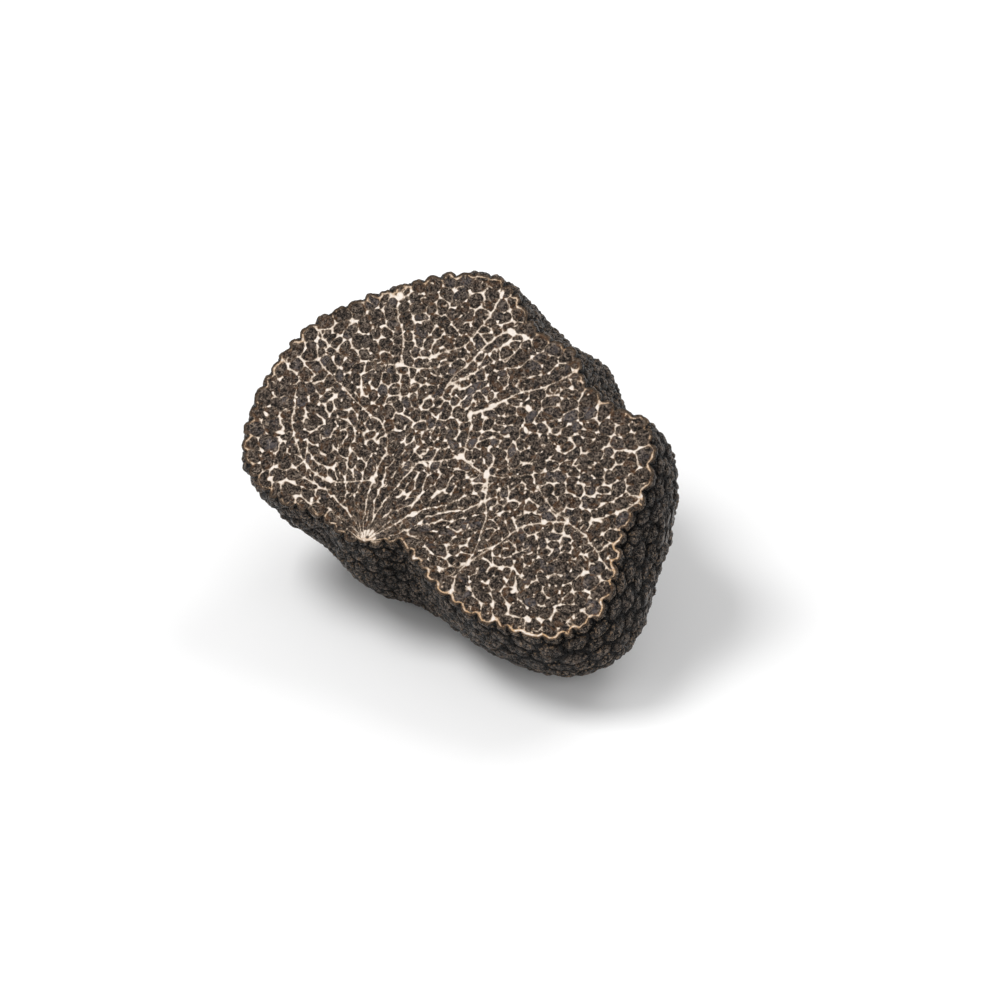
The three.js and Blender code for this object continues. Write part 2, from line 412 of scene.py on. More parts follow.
def shapeWarts(skin, spots):
    v = skinWarts
    mesh = skin.data
    t = readValues(mesh, "wart")
    number = np.zeros(len(mesh.vertices), int)
    number[read(mesh.polygons, "vertices", 3, np.int32)] = readValues(mesh, "wartNumber", np.int32)[:, None]
    smooth = skinPoints(unit(readPlaces(mesh)))
    writePlaces(mesh, smooth)
    out = read(mesh.vertex_normals, "vector", 3).astype(float)
    draws = 2 * randomStream(v["seed"], len(spots)) - 1
    heights = v["height"] * (1 + v["spread"] * draws)
    random = np.random.default_rng(7)
    tops = (heights - v["valleyDrop"])[number]
    # place round the tip, in its own plane
    tips = skinPoints(spots)
    aim = unit(tips - (faceMiddle - halfForm["widestDepth"] * faceNormal))
    side = unit(np.cross(aim, (0.31, 0.52, 0.79)))
    other = np.cross(aim, side)
    away = smooth - tips[number]
    x = (away * side[number]).sum(1)
    y = (away * other[number]).sum(1)
    angle = np.arctan2(y, x)
    roundness = (v["roundness"] * random.uniform(0.75, 1.3, len(spots)))[number]
    # next to the cut the warts are rounder and calmer, which scallops the rim
    nearCut = bell(aboveCut(smooth), v["rimCalm"])
    roundness += (v["rimRoundness"] - roundness) * nearCut
    valley = v["valleyDepth"] * (1.05 + v["valleyUneven"] * waves(smooth, 2.6, 11)) * (1 + 0.15 * nearCut)
    rough = 1 - v["calm"] * nearCut
    # some neighbours grow together, which leaves only a shallow valley between them
    grown = v["grown"] * np.clip(waves(smooth, 1.7, 13) - 0.1, 0, 1) * (1 - nearCut)
    ragged = v["ragged"] * rough * waves(smooth, 0.55, 12) * smoothStep(t, 0, 0.25)
    dome = 1 - (1 - np.clip(t + grown + ragged, 0, 1)) ** roundness
    rise = -valley + (tops + valley) * dome
    # radial folds, a leaning top and a small pit at the tip of some warts
    folds = random.integers(4, 8, len(spots))[number]
    turn = random.uniform(0, 6.28, len(spots))[number]
    groove = 1 - np.abs(np.sin(folds * angle / 2 + turn + 0.9 * waves(smooth, 0.9, 5))) ** 0.6
    rise -= v["folds"] * rough * groove * smoothStep(t, 0.05, 0.5) * (1 - smoothStep(t, 0.8, 1.0))
    lean = random.uniform(0, 6.28, len(spots))[number]
    rise += v["lean"] * (1 - (1 - t) ** 2) * (x * np.cos(lean) + y * np.sin(lean))
    pit = (random.uniform(0, 1, len(spots)) < v["pitShare"])[number]
    rise -= np.where(pit, v["pitDepth"], 0.02) * bell(np.hypot(x, y), 0.3)
    rise += rough * sum(height * waves(smooth, size, seed) for size, height, seed in v["lumps"])
    # each wart is crumpled into knobs with creases between them
    knobs = np.array([noise.voronoi(spot)[0][:2] for spot in smooth / v["knobs"]])
    gap = knobs[:, 1] - knobs[:, 0]
    rise += v["knobHeight"] * rough * (0.42 - knobs[:, 0]) * smoothStep(t, 0.0, 0.5)
    crease = v["creases"] * (1 - smoothStep(gap, 0, 0.25))
    rise -= crease * rough * smoothStep(t, 0.1, 0.6)
    rise *= 0.6 + 0.4 * smoothStep(smooth[:, 2], *v["calmBelow"])
    places = smooth + out * rise[:, None]
    # how far each place stands out from its neighbours
    edges = read(mesh.edges, "vertices", 2, np.int32)
    around = np.zeros_like(places)
    met = np.zeros(len(places))
    for a, b in (edges.T, edges.T[::-1]):
        np.add.at(around, a, places[b])
        np.add.at(met, a, 1)
    ridge = ((places - around / met[:, None]) * out).sum(1)
    low, high = (np.array(corner) * 1000 for corner in solidBox)
    past = v["cutPast"]
    places = np.clip(places, np.append(low[:2], -5) + past, high - 0.01)
    depth = -aboveCut(places)
    # points that would leave slivers along a cut go past it
    near = (np.abs(depth) < past) & (places[:, 2] < high[2] - 2 * past)
    places[near] += faceNormal * (depth[near, None] + past)
    places[np.abs(places[:, 2]) < past, 2] = -past
    writePlaces(mesh, places)
    writeValues(mesh, "ridge", np.clip(ridge / v["ridgeScale"], -1, 1))
    writeValues(mesh, "crease", smoothStep(gap, 0, 0.3))


# The face with the most corners, which is the one that lies in the cut.
def cutFace(mesh):
    return mesh.polygons[int(read(mesh.polygons, "loop_total", kind=np.int32).argmax())]


def turnOf(a, b, c):
    return (b[:, 0] - a[:, 0]) * (c[:, 1] - a[:, 1]) - (b[:, 1] - a[:, 1]) * (c[:, 0] - a[:, 0])


# Eases a closed outline where it crosses itself within a few steps, until it no longer does.
def untangle(line, reach):
    for _ in range(60):
        ahead = np.roll(line, -1, 0)
        knotted = np.zeros(len(line), bool)
        for step in range(2, reach):
            start, end = np.roll(line, -step, 0), np.roll(ahead, -step, 0)
            crossed = turnOf(line, ahead, start) * turnOf(line, ahead, end) <= 0
            crossed &= turnOf(start, end, line) * turnOf(start, end, ahead) <= 0
            for shift in range(step + 2):
                knotted |= np.roll(crossed, shift)
        if not knotted.any():
            break
        line = line + np.where(knotted[:, None], (np.roll(line, 1, 0) + ahead) / 4 - line / 2, 0)
    return line


# Moves a closed outline inwards by a width, easing it where it turns sharply.
def insetOutline(outline, width, easing):
    ahead = np.roll(outline, -1, 0) - outline
    behind = outline - np.roll(outline, 1, 0)
    inward = sum(unit(np.column_stack((-side[:, 1], side[:, 0]))) for side in (ahead, behind))
    inner = outline + unit(inward) * width
    for _ in range(easing):
        inner += 0.5 * ((np.roll(inner, 1, 0) + np.roll(inner, -1, 0)) / 2 - inner)
    return untangle(inner, 12)


def makeSkin():
    v = skinWarts
    skin, spots = wartFans()
    mesh = skin.data
    pickPoints(mesh, aboveCut(skinPoints(unit(readPlaces(mesh)))) > v["crownKept"])
    editMode("VERT")
    bpy.ops.mesh.delete(type="VERT")
    bpy.ops.mesh.select_all(action="SELECT")
    bpy.ops.mesh.subdivide(number_cuts=v["cuts"])
    objectMode()
    shapeWarts(skin, spots)
    print("skin: warts shaped,", len(mesh.polygons), "faces")
    editMode("FACE")
    for middle, normal in (((0, 0, 0), (0, 0, -1)), (faceMiddle, faceNormal)):
        bpy.ops.mesh.select_all(action="SELECT")
        bpy.ops.mesh.bisect(
            plane_co=middle, plane_no=normal, use_fill=True, clear_outer=True, threshold=0.001
        )
    # the seat for the flesh: the cut face goes in by the width of the skin line, then down
    bpy.ops.mesh.select_all(action="DESELECT")
    objectMode()
    face = cutFace(mesh)
    ring = list(face.vertices)
    outline = facePlace(readPlaces(mesh)[ring])
    wart = readValues(mesh, "wart")[ring]
    face.select = True
    editMode("FACE")
    extrude((0, 0, 0))
    objectMode()
    face = cutFace(mesh)
    inner = list(face.vertices)
    places = readPlaces(mesh)
    eased = insetOutline(facePlace(places[inner]), v["rimWidth"], 3)
    places[inner] = onFace(eased)
    writePlaces(mesh, places)
    rim = np.zeros(len(mesh.vertices))
    rim[inner] = 1
    editMode("FACE")
    extrude(-faceNormal * v["recess"])
    objectMode()
    seat = list(cutFace(mesh).vertices)
    rim = np.append(rim, np.zeros(len(mesh.vertices) - len(rim)))
    rim[seat] = 1
    writeValues(mesh, "rim", rim)
    mesh.attributes.remove(mesh.attributes["wartNumber"])
    bpy.ops.object.shade_smooth()
    print("skin: cut and seated,", len(mesh.polygons), "faces, outline of", len(ring))
    return skin, outline, wart, eased


skin, skinOutline, outlineWart, fleshOutline = makeSkin()

# The flesh

fleshVeins = {
    "stalk": (-9.5, -16.0),  # the stalk scar, from which the veins fan out
    "pitchRim": 3.25,  # size of a lobule near the rim
    "pitchMiddle": 2.22,
    "pitchCore": 1.9,
    "core": (-3.0, 9.5),  # a patch of small lobules
    "coreReach": 11.0,
    "secondHeart": (13.0, -13.5),  # a smaller place that veins run out from
    "stretch": 2.0,  # how far lobules near the stalk scar are drawn out along its rays
    "stretchReach": 21.0,
    "rimLobules": (1.1, 4.5),  # narrowest and widest wart on the rim with a lobule of its own
    "besideEvery": 1.6,  # spacing of the lobules along both sides of a main vein
    "besideOff": (0.62, 0.9),  # and their distance from it
    "closest": 0.95,
    "tries": 60000,
    "triedArea": ((-36, -30), (36, 32)),
    "rounding": 0.14,  # how far the corners between three lobules fill with vein
    "whole": 0.86,  # share of the walls between lobules that are unbroken
    "gone": 0.3,  # share of the broken ones that leave no trace
    "wall": 0.14,  # half width that the thickest walls gain
    "thinner": 0.048,  # and that every wall loses
    "swollen": (0.36, 0.4),  # share of the meetings of three lobules that swell, and by how much
    "wobble": ((1.9, 0.4, 31), (0.62, 0.19, 33)),  # waves of all the veins: (size, reach, seed)
    "grid": 0.172,  # spacing of the face's own points
    "fineGrid": 0.085,  # and close round the stalk scar
    "fineReach": 3.2,
    "veinSunk": 0.09,  # how far the veins lie under the cut
    "edgeSunk": 0.03,  # and the edges of the lobules
    "uneven": 0.02,
    "dots": 420,  # loose dots inside the lobules
    "dotSizes": (0.03, 0.19),
    "hooks": 420,  # and short loose strokes
    "hookSteps": (3, 12),
    "hookStep": 0.09,
    "markedArea": ((-35, -27), (35, 31)),
    "seed": 412,
    # main veins: (points, half width at the start, half width at the end)
    "mainVeins": [
        ([(-9.5, -16), (-10.5, -12.5), (-11, -6.5), (-10.5, -1), (-12.5, 2.5), (-15, 3.5), (-19.5, 6.5),
          (-25, 10), (-26.5, 14.5)], 0.14, 0.12),
        ([(-11, -6.5), (-14.5, -7.5), (-17.5, -8), (-20.5, -7), (-22.5, -5.5), (-25.5, -1.5), (-26.5, 3),
          (-27, 5.5)], 0.14, 0.12),
        ([(-9.5, -16), (-9, -11.5), (-5.5, -3), (-2.5, -1.5), (1, 0), (1, 2.5), (1, 5)], 0.12, 0.1),
        ([(1, 0), (5.5, -2), (12, -0.5)], 0.17, 0.08),
        ([(-9.5, -16), (-4, -10.5), (0, -8), (6, -4)], 0.1, 0.06),
        ([(-12.5, 12), (-18, 11.5)], 0.15, 0.06),
        ([(-12.5, 12), (-12.9, 14.7), (-13.7, 17.1), (-14.9, 19.4), (-15.7, 21.8), (-15.3, 24.5)],
         0.15, 0.09),
        ([(-12.5, 12), (-9, 12), (-5.5, 13.5)], 0.16, 0.07),
        ([(0, 6.5), (3.5, 8.5), (6.5, 11.5), (10.5, 13.5), (14, 16.5)], 0.18, 0.11),
        ([(-9.5, 13.7), (-5.2, 16.1), (-3.1, 18), (-1.7, 21.3), (-0.5, 26)], 0.09, 0.15),
        ([(5, 20.2), (2.6, 20.4), (0.4, 19), (-1.2, 16.2), (-4, 11.4), (-4.8, 7.9)], 0.2, 0.08),
        ([(-4.5, 10), (1.5, 15.5), (3.5, 16.5), (5.5, 20.5)], 0.1, 0.1),
        ([(5.7, -2), (6.4, -5.6), (7.4, -8.7), (7.4, -11.5), (6.7, -15.9)], 0.15, 0.08),
        ([(16, -7), (19, -6.5), (22, -7.5), (26.5, -11.5), (27.5, -12)], 0.13, 0.14),
        ([(19.5, -6.5), (15.5, -4), (13.5, -2)], 0.1, 0.08),
        ([(23.5, -5), (26.5, -3), (28.5, -1), (29, 1.5)], 0.16, 0.15),
        ([(16, -7), (13, -8.5), (10.5, -11.5), (6, -16.5), (5.5, -20.5)], 0.12, 0.09),
        ([(-26.5, 15), (-24.5, 13), (-20, 11)], 0.12, 0.06),
    ],
    # where veins are thicker or finer than elsewhere: (across, upslope, change in half width)
    "thicker": [(-14, 11.6, 0.03), (-1, 4, -0.022), (7, -12, -0.02), (19, 3.5, 0.022), (-12.5, -13, 0.02),
                (-24, -9, 0.012), (7.5, 15, -0.004)],
    # pale knots where veins meet: (across, upslope, radius)
    "knots": [
        (-11, -6.5, 0.45), (-17.5, -8, 0.35), (1, 0, 0.42), (5.5, -2, 0.55), (2.6, 20.4, 0.5),
        (5, 20.2, 0.35), (16, -7, 0.3), (-12.5, 12, 0.4), (23.5, -5.2, 0.42), (13.5, -2, 0.2),
        (3.3, 8.6, 0.42), (0.3, 6.6, 0.35), (8.4, 9.5, 0.4), (15, 4.4, 0.3), (-0.5, 26, 0.42),
        (-15.8, 22.6, 0.35), (-30.4, 0.1, 0.35), (-27.4, -2.2, 0.42), (-26.4, -9.4, 0.35),
        (-19.3, -11.3, 0.3), (-3.7, -10.2, 0.38), (14.2, -18.1, 0.36), (17.7, -21.7, 0.4),
        (10.5, -17.8, 0.28), (9.4, 6.1, 0.42), (-20, 6.6, 0.3), (-4, -2.4, 0.34), (24, -20, 0.26),
    ],
    # fine fibres that fan out from the stalk scar
    "fibres": 44,
    "fibreBearings": (-8, 158),
    "fibreLength": (2.0, 9.5),
    "fibreWidth": 0.075,
    # the rough scar itself and the pit in it: (across, upslope, radius)
    "scar": (-9.05, -15.0, 1.1),
    "scarPit": (-9.15, -15.1, 0.24),
    # how golden the line under the skin is: (bearing, strength)
    "gold": [
        (0, 0.7), (25, 0.5), (60, 0.6), (90, 0.6), (130, 0.55), (180, 0.6), (215, 0.55), (245, 0.5),
        (270, 0.75), (300, 1.0), (335, 1.0),
    ],
}


def smoothLine(points, step):
    knots = np.array([points[0], *points, points[-1]], float)
    line = []
    for i in range(1, len(knots) - 2):
        a, b, c, d = knots[i - 1:i + 3]
        pieces = max(2, int(np.linalg.norm(c - b) / step))
        t = np.arange(pieces)[:, None] / pieces
        line.append(0.5 * (2 * b + (c - a) * t + (2 * a - 5 * b + 4 * c - d) * t ** 2
                           + (3 * b - a - 3 * c + d) * t ** 3))
    return np.concatenate(line + [knots[-1:]])


def insideOutline(points, outline):
    x, y = points.T
    inside = np.zeros(len(points), bool)
    for (x1, y1), (x2, y2) in zip(outline, np.roll(outline, -1, 0)):
        crosses = (y1 > y) != (y2 > y)
        inside ^= crosses & (x < (x2 - x1) * (y - y1) / (y2 - y1 + 1e-12) + x1)
    return inside


# Size, stretch and stretch direction of the lobule at each place.
def lobuleFit(places, depths):
    v = fleshVeins
    core = farFrom(places, v["core"])
    heart = farFrom(places, v["secondHeart"])
    far = farFrom(places, v["stalk"])
    pitch = v["pitchMiddle"] + (v["pitchCore"] - v["pitchMiddle"]) * bell(core, v["coreReach"])
    pitch -= 0.35 * bell(heart, 5.5)
    reach = 4.6 + 3 * smoothStep(-places[:, 0], 12, 25)
    pitch += (v["pitchRim"] - pitch) * bell(depths, reach)
    pitch *= 0.72 + 0.28 * smoothStep(far, 1, 9)
    second = 0.5 * bell(heart, 6) * smoothStep(heart, 0.5, 2)
    stretch = 1 + (v["stretch"] - 1) * bell(far, v["stretchReach"]) * smoothStep(far, 0.3, 3) + second
    toStalk = (places - v["stalk"]) / far[:, None]
    toHeart = (places - v["secondHeart"]) / heart[:, None]
    return pitch, stretch, np.where((second > 0.25)[:, None], toHeart, toStalk)


def placeSites(outline, wart):
    v = fleshVeins
    random = np.random.default_rng(v["seed"])
    chosen = []
    # one lobule under each wart that the rim cuts through
    narrowest, widest = v["rimLobules"]
    low = [i for i in range(len(wart)) if wart[i] <= wart[np.arange(i - 4, i + 5) % len(wart)].min() + 1e-6]
    ends = [low[0]]
    for i in low[1:]:
        if np.linalg.norm(outline[i] - outline[ends[-1]]) > narrowest:
            ends.append(i)
    for i, j in zip(ends, ends[1:] + [ends[0] + len(wart)]):
        span = np.arange(i, j + 1) % len(wart)
        chord = outline[span[-1]] - outline[span[0]]
        width = float(np.linalg.norm(chord))
        if narrowest < width < widest:
            inward = np.array((-chord[1], chord[0])) / width
            chosen.append(outline[span].mean(0) + inward * 0.42 * width)
    rimSites = len(chosen)
    # lobules along both sides of the main veins
    beside = [(-1, 0)] * rimSites
    for number, (points, _, _) in enumerate(v["mainVeins"]):
        line = smoothLine(points, 0.1)
        for side in (-1, 1):
            travel = random.uniform(0.2, 1.2)
            for i in range(2, len(line) - 2):
                travel += float(np.linalg.norm(line[i] - line[i - 1]))
                if travel > v["besideEvery"]:
                    travel = random.uniform(-0.3, 0.4)
                    run = unit(line[i + 1] - line[i - 1])
                    sideways = np.array((-run[1], run[0])) * side * random.uniform(*v["besideOff"])
                    chosen.append(line[i] + sideways)
                    beside.append((number, side))
    kept, keptBeside = [], []
    for site, owner in zip(chosen, beside):
        if all(np.linalg.norm(site - other) > v["closest"] for other in kept):
            kept.append(site)
            keptBeside.append(owner)
    count = v["tries"]
    (left, down), (right, up) = v["triedArea"]
    tries = np.column_stack((random.uniform(left, right, count), random.uniform(down, up, count)))
    tries = tries[insideOutline(tries, outline)]
    depths = nearestGap(tries, outline)
    pitch, stretch, along = lobuleFit(tries, depths)
    pitch = pitch * random.uniform(0.6, 1.4, len(pitch))
    sites = np.array(kept)
    for place, size, longer, ray, depth in zip(tries, pitch, stretch, along, depths):
        if depth < 0.45 * size:
            continue
        off = sites - place
        a = off @ ray
        c = off[:, 0] * ray[1] - off[:, 1] * ray[0]
        root = math.sqrt(longer)
        if ((a / (size * root)) ** 2 + (c * root / size) ** 2).min() > 0.74:
            sites = np.vstack((sites, place))
    besides = np.full((len(sites), 2), -1)
    besides[:len(keptBeside)] = keptBeside
    print("flesh:", len(sites), "lobules,", rimSites, "of them along the rim")
    return sites, nearestGap(sites, outline), besides


# A number between 0 and 1 that belongs to one lobule, or to two or three in any order.
def sharedNumber(salt, *owners):
    ordered = np.sort(np.stack(owners), axis=0).astype(np.uint64)
    mixed = np.full(ordered.shape[1], np.uint64(salt * 2654435761 % 4294967296))
    for row in ordered:
        mixed = (mixed ^ (row + np.uint64(0x9E3779B9))) * np.uint64(0xFF51AFD7ED558CCD)
        mixed ^= mixed >> np.uint64(33)
    return (mixed % np.uint64(1000003)).astype(float) / 1000003


# Straight tapering fibres from the stalk scar, pressed together into strands where they start.
def stalkFibres(places):
    v = fleshVeins
    random = np.random.default_rng(v["seed"] + 5)
    ray = places - v["stalk"]
    far = farFrom(places, v["stalk"])
    bearing = np.degrees(np.arctan2(ray[:, 1], ray[:, 0]))
    best = np.full(len(places), -1.0)
    low, high = v["fibreBearings"]
    for number in range(v["fibres"]):
        turn = low + (high - low) * (number + random.uniform(0.1, 0.9)) / v["fibres"]
        start = random.uniform(0.4, 5) if number % 2 else random.uniform(0, 1)
        length = random.uniform(*v["fibreLength"]) * (0.4 if number % 2 else 1)
        bend = random.uniform(-1.2, 1.2)
        off = np.radians(bearing - turn - bend * far) * far
        taper = smoothStep(far, start, start + 0.5) * (1 - smoothStep(far, start + 0.3, start + length))
        width = v["fibreWidth"] * random.uniform(0.4, 1.3) * taper - 0.1 * (1 - taper)
        best = np.maximum(best, width - np.abs(off))
    x, y, radius = v["scar"]
    strand = np.sin(np.radians(bearing) * 23 + 2.2 * waves(places, 0.9, 66))
    scar = radius - farFrom(places, (x, y)) + 0.3 * waves(places, 0.5, 67)
    best = np.maximum(best, np.minimum(scar, 0.07) + 0.085 * strand)
    x, y, radius = v["scarPit"]
    return np.minimum(best, farFrom(places, (x, y)) - radius)


# Small loose dots and short hooked strokes inside the lobules, as round marks with their radii.
def looseMarks():
    v = fleshVeins
    random = np.random.default_rng(v["seed"] + 1)
    (left, down), (right, up) = v["markedArea"]
    dots = np.column_stack((random.uniform(left, right, v["dots"]), random.uniform(down, up, v["dots"])))
    sizes = random.uniform(*v["dotSizes"], v["dots"])
    spots = random.uniform(*v["markedArea"], (v["hooks"], 2))
    heading = random.uniform(0, 6.28, len(spots))
    bend = random.uniform(-0.2, 0.2, len(spots))
    shortest, longest = v["hookSteps"]
    length = random.integers(shortest, longest + 1, len(spots))
    for step in range(longest):
        spots = spots + v["hookStep"] * np.column_stack((np.cos(heading), np.sin(heading)))
        heading = heading + bend
        dots = np.concatenate((dots, spots[length > step]))
        sizes = np.append(sizes, 0.05 + 0.04 * (1 - step / length[length > step]))
    return dots, sizes


# How deep in a vein each place lies, in millimetres: above 0 inside a vein, below 0 in a lobule.
# With it come the distances from the lobule's middle and from the rim, and the lobule's own tone.
def veinDepth(places, outline, sites, siteDepths, besides):
    v = fleshVeins
    moved = places.copy()
    for size, reach, seed in v["wobble"]:
        moved += reach * np.column_stack((waves(places, size, seed), waves(places, size, seed + 1)))
    pitch, stretch, along = lobuleFit(sites, siteDepths)
    # away from the scar each lobule is drawn out its own way
    random = np.random.default_rng(v["seed"] + 2)
    turn = random.normal(0, 0.9, len(sites)) * smoothStep(farFrom(sites, v["stalk"]), 6, 24)
    along = np.column_stack((along[:, 0] * np.cos(turn) - along[:, 1] * np.sin(turn),
                             along[:, 0] * np.sin(turn) + along[:, 1] * np.cos(turn)))
    stretch = stretch * random.uniform(0.95, 1.55, len(sites))
    near = nearestOf(moved, sites, 8)
    off = moved[:, None, :] - sites[near]
    ray = along[near]
    size = pitch[near]
    root = np.sqrt(stretch[near])
    sideRay = np.stack((ray[..., 1], -ray[..., 0]), -1)
    a = (off * ray).sum(-1)
    c = (off * sideRay).sum(-1)
    far = np.sqrt((a / (size * root)) ** 2 + (c * root / size) ** 2) + 1e-9
    slope = (a / (size * root) ** 2 / far)[..., None] * ray
    slope += (c * (root / size) ** 2 / far)[..., None] * sideRay
    order = np.argsort(far, axis=1)[:, :6]
    near = np.take_along_axis(near, order, 1)
    far = np.take_along_axis(far, order, 1)
    slope = np.take_along_axis(slope, order[..., None], 1)
    depth = nearestGap(places, outline)
    fromStalk = farFrom(places, v["stalk"])
    nearStalk = bell(fromStalk, 6)
    whole = v["whole"] + 0.1 * bell(depth, 3.2) + 0.08 * waves(places, 6, 41)
    whole += 0.06 * bell(farFrom(places, v["core"]), v["coreReach"])
    thicker = sum(change * bell(farFrom(places, (x, y)), 6) for x, y, change in v["thicker"])
    total = np.zeros(len(places))
    rounding = v["rounding"] * (1 + 0.4 * waves(places, 2.4, 46)) - 0.08 * nearStalk
    for k in range(1, 6):
        gap = (far[:, k] - far[:, 0]) / np.maximum(np.linalg.norm(slope[:, k] - slope[:, 0], axis=1), 0.25)
        draw = sharedNumber(1, near[:, 0], near[:, k])
        width = v["wall"] * sharedNumber(2, near[:, 0], near[:, k]) ** 2 - v["thinner"] - 0.065 * nearStalk
        width = width + thicker + 0.035 * waves(places, 0.5, 42) + 0.04 * waves(places, 2.6, 43)
        third = (far[:, 2] if k == 1 else far[:, 1]) - far[:, 0]
        fade = smoothStep(third, 0.04, 0.38)
        width = width + 0.055 * (1 - fade)
        broken = smoothStep(draw, whole - 0.02, whole + 0.02)
        gone = sharedNumber(3, near[:, 0], near[:, k]) < v["gone"]
        lost = broken * (fade * 0.4 + np.where(gone, 0.5, 0.03))
        mine, theirs = besides[near[:, 0]], besides[near[:, k]]
        opposite = (mine[:, 0] >= 0) & (mine[:, 0] == theirs[:, 0]) & (mine[:, 1] != theirs[:, 1])
        lost += np.where(opposite, 1.0, 0)
        edge = gap - width + lost
        total += np.exp(-edge / rounding)
    # the pale line under the skin
    gold = goldAt(places)
    width = 0.27 * gold - 0.16 + 0.17 * waves(places, 1.5, 44) + 0.1 * waves(places, 0.5, 45)
    width -= 0.12 * (1 - smoothStep(fromStalk, 1.5, 4))
    total += np.exp(-(np.abs(depth - 0.12 - 0.12 * gold) - width) / rounding)
    # main veins and knots
    for number, (points, first, last) in enumerate(v["mainVeins"]):
        line = smoothLine(points, 0.08)
        low, high = line.min(0) - 1.5, line.max(0) + 1.5
        close = np.flatnonzero(((moved > low) & (moved < high)).all(1))
        drawn = (0.4 * places + 0.6 * moved)[close]
        nearest = nearestOf(drawn, line)[:, 0]
        away = farFrom(drawn, line[nearest])
        share = nearest / len(line)
        width = (first + (last - first) * share) * smoothStep(fromStalk[close], -1.5, 5)
        width = width * (0.95 + 0.5 * waves(places[close], 1.3, 50 + number)) - 0.036
        width -= 0.07 * bell(fromStalk[close], 3)
        total[close] += np.exp(-(away - width) / rounding[close])
    random = np.random.default_rng(v["seed"] + 3)
    for x, y, radius in v["knots"]:
        turn = random.uniform(0, math.pi)
        off = moved - (x, y)
        a = off[:, 0] * math.cos(turn) + off[:, 1] * math.sin(turn)
        c = off[:, 1] * math.cos(turn) - off[:, 0] * math.sin(turn)
        size = radius * (1.02 + 0.6 * waves(places, 0.7, 61))
        total += np.exp((size - np.hypot(a / 1.35, c * 1.35)) / rounding)
    closeness = np.maximum(far[:, 1], far[:, 2]) - far[:, 0]
    knot = sharedNumber(4, near[:, 0], near[:, 1], near[:, 2])
    share, most = v["swollen"]
    swell = np.where(knot < share, most * (share - knot) / share + 0.03, 0.0) * (1 - nearStalk)
    depthIn = rounding * np.log(total) + swell * bell(closeness, 0.1)
    depthIn = np.maximum(depthIn - 0.25 * bell(fromStalk, 1.6), stalkFibres(places))
    dots, sizes = looseMarks()
    nearest = nearestOf(moved, dots)[:, 0]
    depthIn = np.maximum(depthIn, sizes[nearest] - farFrom(moved, dots[nearest]))
    return np.clip(depthIn, -0.8, 0.8), far[:, 0], depth, sharedNumber(5, near[:, 0])


def goldAt(places):
    bearing = np.degrees(np.arctan2(places[:, 1], places[:, 0])) % 360
    table = np.array(fleshVeins["gold"], float)
    return np.interp(bearing, np.append(table[:, 0], 360), np.append(table[:, 1], table[0, 1]))


def makeFlesh(outline, rimOutline, wart):
    v = fleshVeins
    sites, siteDepths, besides = placeSites(rimOutline, wart)
    step = v["grid"]
    # outline split finely, and an even triangular grid inside it
    border = []
    for here, there in zip(outline, np.roll(outline, -1, 0)):
        parts = max(1, round(float(np.linalg.norm(there - here)) / (step * 1.2)))
        border += [here + (there - here) * i / parts for i in range(parts)]
    border = np.array(border)
    low, high = border.min(0), border.max(0)
    columns = np.arange(low[0], high[0], step)
    rows = np.arange(low[1], high[1], step * math.sqrt(3) / 2)
    grid = np.stack(np.meshgrid(columns, rows), -1)
    grid[1::2, :, 0] += step / 2
    grid = grid.reshape(-1, 2)
    ticks = np.arange(-v["fineReach"], v["fineReach"], v["fineGrid"])
    fine = np.stack(np.meshgrid(ticks, ticks), -1).reshape(-1, 2)
    fine = fine[farFrom(fine, (0, 0)) < v["fineReach"]] + v["stalk"]
    grid = np.concatenate((grid[farFrom(grid, v["stalk"]) > v["fineReach"] + step / 3], fine))
    grid = grid[insideOutline(grid, border)]
    grid = grid[nearestGap(grid, border) > step * 0.7]
    spots = [Vector(spot) for spot in np.concatenate((border, grid))]
    count = len(border)
    loop = [(i, (i + 1) % count) for i in range(count)]
    places, _, faces, *_ = geometry.delaunay_2d_cdt(spots, loop, [], 1, 1e-6, False)
    places = np.array(places)
    faces = np.array(faces)[insideOutline(places[np.array(faces)].mean(1), border)]
    mesh = bpy.data.meshes.new("truffle_flesh")
    mesh.from_pydata(onFace(places), [], faces.tolist())
    flesh = bpy.data.objects.new("truffle_flesh", mesh)
    bpy.context.scene.collection.objects.link(flesh)
    print("flesh: face of", len(faces), "triangles")
    vein, centre, rim, shade = veinDepth(places, outline, sites, siteDepths, besides)
    sunk = v["veinSunk"] * smoothStep(vein, -0.3, 0.05) + v["edgeSunk"] * smoothStep(centre, 0.1, 0.6)
    sunk -= v["uneven"] * waves(places, 0.42, 71) - v["uneven"]
    writePlaces(mesh, onFace(places, np.maximum(sunk * smoothStep(rim, 0.0, 0.5), 0)))
    for name, values in (("vein", vein), ("rim", rim), ("gold", goldAt(places)), ("tone", shade)):
        writeValues(mesh, name, values)
    plan = mesh.uv_layers.new(name="cutFace")
    spread = (places - (low + high) / 2) / (max(high - low) * 1.02) + 0.5
    spread = spread[read(mesh.loops, "vertex_index", kind=np.int32)]
    plan.data.foreach_set("uv", spread.astype(np.float32).ravel())
    # walls and floor, down into the seat
    workOn(flesh)
    editMode("EDGE", "DESELECT")
    bpy.ops.mesh.select_non_manifold()
    extrude(-faceNormal * skinWarts["recess"])
    bpy.ops.mesh.edge_face_add()
    bpy.ops.mesh.select_all(action="SELECT")
    bpy.ops.mesh.normals_make_consistent(inside=False)
    objectMode()
    bpy.ops.object.shade_smooth()
    return flesh


flesh = makeFlesh(fleshOutline, skinOutline, outlineWart)

# Finishes

